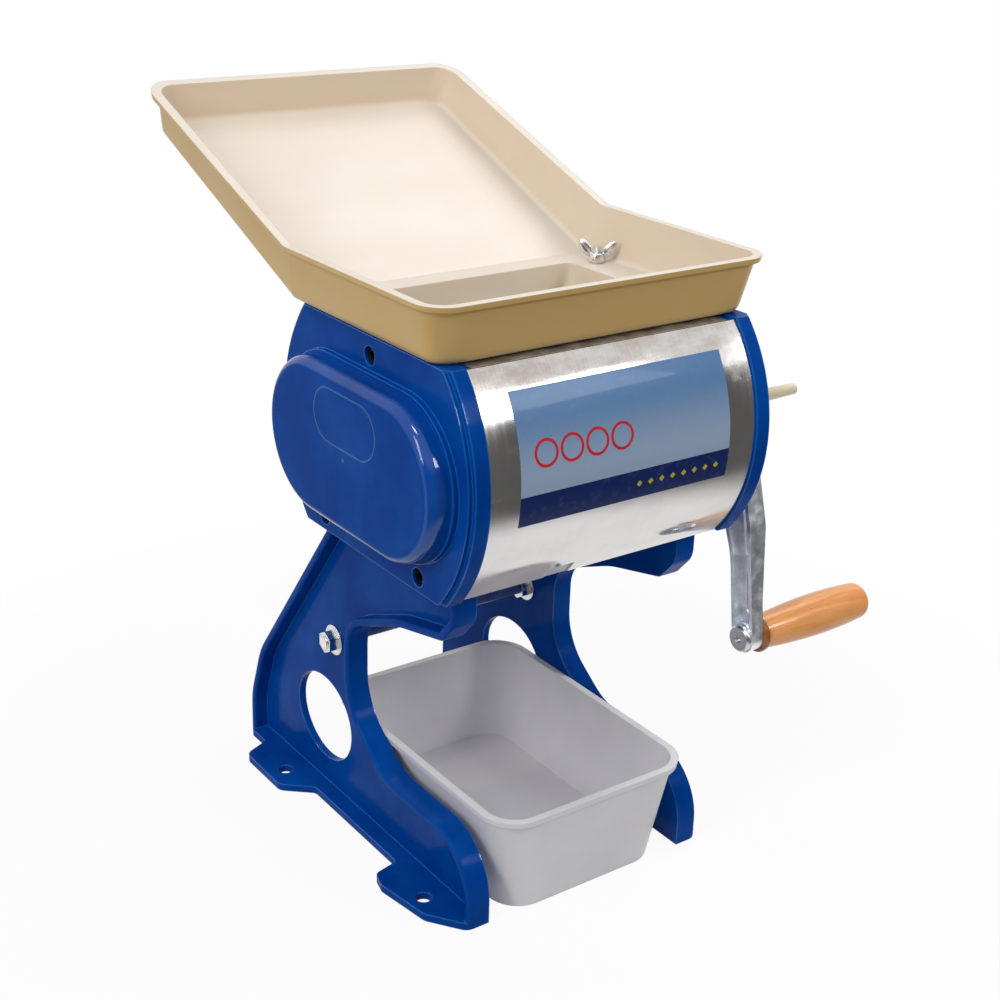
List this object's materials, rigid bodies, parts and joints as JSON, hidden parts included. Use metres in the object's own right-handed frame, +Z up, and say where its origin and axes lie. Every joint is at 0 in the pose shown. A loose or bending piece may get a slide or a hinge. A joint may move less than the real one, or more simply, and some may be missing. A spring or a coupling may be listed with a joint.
{
  "type": "hand cranked meat slicer",
  "caption": "Hand cranked slicer for jerky and boneless meat: steel drum with meshed round blades, food tray with feed pocket, cast stands and a loose collecting box.",
  "frame": {"origin": "on the table, at the centre of the four foot holes", "axes": "+X along the blade shafts towards the crank, -Y the side the machine is fed and emptied from, +Z up"},
  "size_m": [0.348, 0.3551, 0.4421],
  "materials": {
    "blue_paint": "glossy",
    "steel_sheet": "polished",
    "grey_casting": "satin",
    "zinc": "zinc plated",
    "bronze": "machined",
    "cutter_steel": "ground",
    "gear_steel": "machined",
    "cream_plastic": "glossy",
    "white_plastic": "satin, slightly translucent",
    "polished_aluminium": "polished",
    "brown_plastic": "satin",
    "varnished_wood": "varnished"
  },
  "bodies": {
    "housing": {"left_end_plate": "blue_paint", "right_end_plate": "blue_paint", "front_shell": "steel_sheet", "rear_shell": "steel_sheet", "feed_throat": "grey_casting", "lower_frame": "grey_casting", "plate_screws": "zinc", "gear_cover": "blue_paint", "left_bushes": "bronze", "right_bushes": "bronze", "front_comb": "cutter_steel", "rear_comb": "cutter_steel", "comb_rods": "cutter_steel", "right_stand": "blue_paint", "left_stand": "blue_paint", "stay_rod": "zinc", "stay_washers": "zinc", "stay_nuts": "zinc", "stand_screws": "zinc", "tray": "cream_plastic", "tray_stud": "zinc"},
    "drive": {"drive_shaft": "cutter_steel", "drive_gear": "gear_steel", "drive_circlip": "gear_steel", "drive_blades": "cutter_steel", "drive_spacers": "cutter_steel", "crank_arm": "polished_aluminium", "crank_knob": "cream_plastic", "handle_bolt": "zinc", "handle_collar": "brown_plastic", "handle_nut": "zinc"},
    "driven": {"driven_shaft": "cutter_steel", "driven_gear": "gear_steel", "driven_circlip": "gear_steel", "driven_blades": "cutter_steel", "driven_spacers": "cutter_steel"},
    "grip": {"crank_handle": "varnished_wood"},
    "box": {"collecting_box": "white_plastic"},
    "nut": {"wing_nut": "zinc"}
  },
  "joints": [
    {"name": "crank_spin", "type": "hinge", "parent": "housing", "child": "drive", "pos_m": [0, -0.0785, 0.2755], "axis": [1, 0, 0], "continuous": true},
    {"name": "driven_spin", "type": "hinge", "parent": "housing", "child": "driven", "pos_m": [0, 0.0015, 0.2755], "axis": [1, 0, 0], "continuous": true},
    {"name": "handle_spin", "type": "hinge", "parent": "drive", "child": "grip", "pos_m": [0.18, -0.1146, 0.1321], "axis": [1, 0, 0], "continuous": true},
    {"name": "box_slide", "type": "slide", "parent": "housing", "child": "box", "axis": [0, -1, 0], "range_m": [0, 0.25]},
    {"name": "wing_nut_turn", "type": "hinge", "parent": "housing", "child": "nut", "pos_m": [0.0945, 0.016, 0.352], "axis": [0, 0, 1], "continuous": true}
  ],
  "couplings": [
    {"joint": "driven_spin", "follows": "crank_spin", "ratio": -1}
  ]
}
